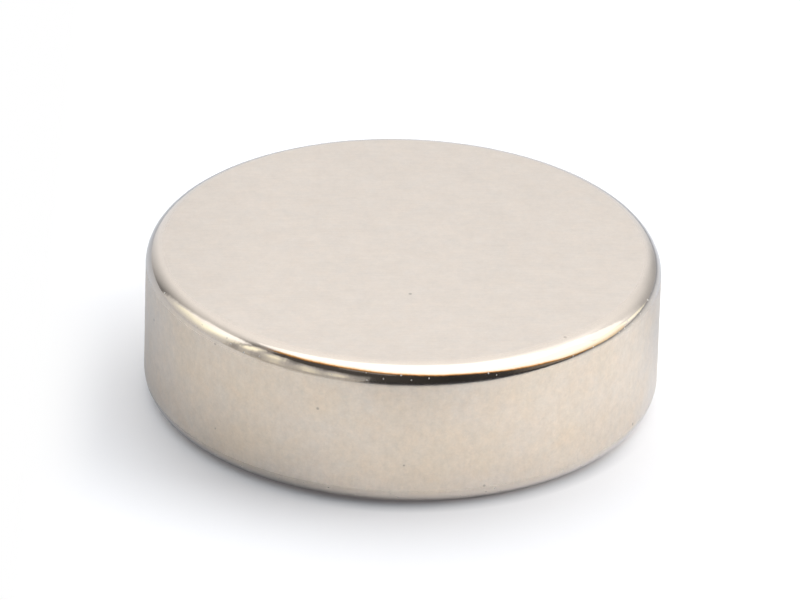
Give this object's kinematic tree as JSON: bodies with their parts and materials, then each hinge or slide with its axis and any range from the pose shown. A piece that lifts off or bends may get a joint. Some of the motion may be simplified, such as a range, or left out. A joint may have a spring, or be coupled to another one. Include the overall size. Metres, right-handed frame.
{
  "type": "disc magnet",
  "caption": "Flat round neodymium disc magnet with rounded edges and bright nickel plating; it holds by either pole face.",
  "frame": {"origin": "centre of the lower pole face, on which the magnet rests", "axes": "+Z along the disc's axis, from the lower pole face to the upper one; X and Y in the plane of the lower face"},
  "size_m": [0.01, 0.01, 0.003],
  "materials": {
    "nickel_plating": "bright barrel-plated nickel, warm grey, with a faint mottle"
  },
  "bodies": {
    "root": {"disc_magnet": "nickel_plating"}
  },
  "joints": []
}
